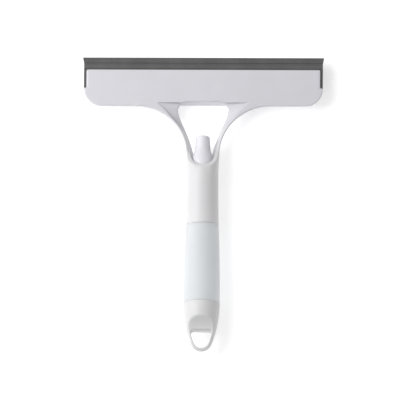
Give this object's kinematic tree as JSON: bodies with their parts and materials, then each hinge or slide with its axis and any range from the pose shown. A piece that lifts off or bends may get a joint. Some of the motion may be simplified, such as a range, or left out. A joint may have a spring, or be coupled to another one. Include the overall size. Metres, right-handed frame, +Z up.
{
  "type": "spray squeegee",
  "caption": "Window squeegee: a silicone blade on a flat white head, two curved arms, and a handle that is a spray bottle with a press pump and a hanging loop.",
  "frame": {"origin": "on the floor under the middle of the tool's box, as it lies on the back of its head and bottle", "axes": "+X along the blade, +Y from the hanging loop to the blade, along the handle's axis, +Z up, out of the plate's front face"},
  "size_m": [0.2406, 0.3012, 0.0364],
  "materials": {
    "white_shell": "satin moulded plastic",
    "white_cover": "satin moulded plastic, fine texture at the back",
    "white_cap": "satin moulded plastic",
    "button_white": "satin moulded plastic",
    "blade_silicone": "matte silicone",
    "seal_rubber": "matte silicone",
    "frosted_bottle": "frosted, translucent",
    "pump_white": "moulded plastic",
    "pump_natural": "uncoloured, slightly translucent plastic",
    "clear_tube": "translucent tube",
    "spring_steel": "drawn stainless wire",
    "ball_steel": "polished stainless ball",
    "screw_steel": "zinc-plated steel"
  },
  "bodies": {
    "head": {"head_yoke": "white_shell", "rear_cover": "white_cover", "cover_screws": "screw_steel", "blade": "blade_silicone", "pump_closure": "pump_white", "neck_gasket": "seal_rubber", "pump_housing": "pump_natural", "closing_ring": "pump_white", "dip_tube": "clear_tube", "pump_spring": "spring_steel"},
    "button": {"spray_actuator": "button_white", "nozzle_insert": "pump_natural", "pump_stem": "pump_natural", "piston": "pump_natural", "valve_rod": "pump_natural"},
    "ball": {"check_ball": "ball_steel"},
    "seal": {"bottle_seal": "seal_rubber"},
    "tank": {"bottle": "frosted_bottle", "end_cap": "white_cap"}
  },
  "joints": [
    {"name": "spray_press", "type": "slide", "parent": "head", "child": "button", "axis": [0, -1, 0], "range_m": [0, 0.005], "stiffness_N_per_m": 1500, "springref_m": -0.006, "deforming": ["pump_spring"]},
    {"name": "ball_lift", "type": "slide", "parent": "head", "child": "ball", "axis": [0, 1, 0], "range_m": [0, 0.001]},
    {"name": "bottle_lift", "type": "slide", "parent": "head", "child": "seal", "axis": [0, -1, 0], "range_m": [0, 0.0046]},
    {"name": "bottle_twist", "type": "hinge", "parent": "seal", "child": "tank", "pos_m": [0, 0, 0.0182], "axis": [0, -1, 0], "range_deg": [0, 540]}
  ],
  "couplings": [
    {"joint": "bottle_lift", "follows": "bottle_twist", "m_per_rad": 0.00047746}
  ]
}
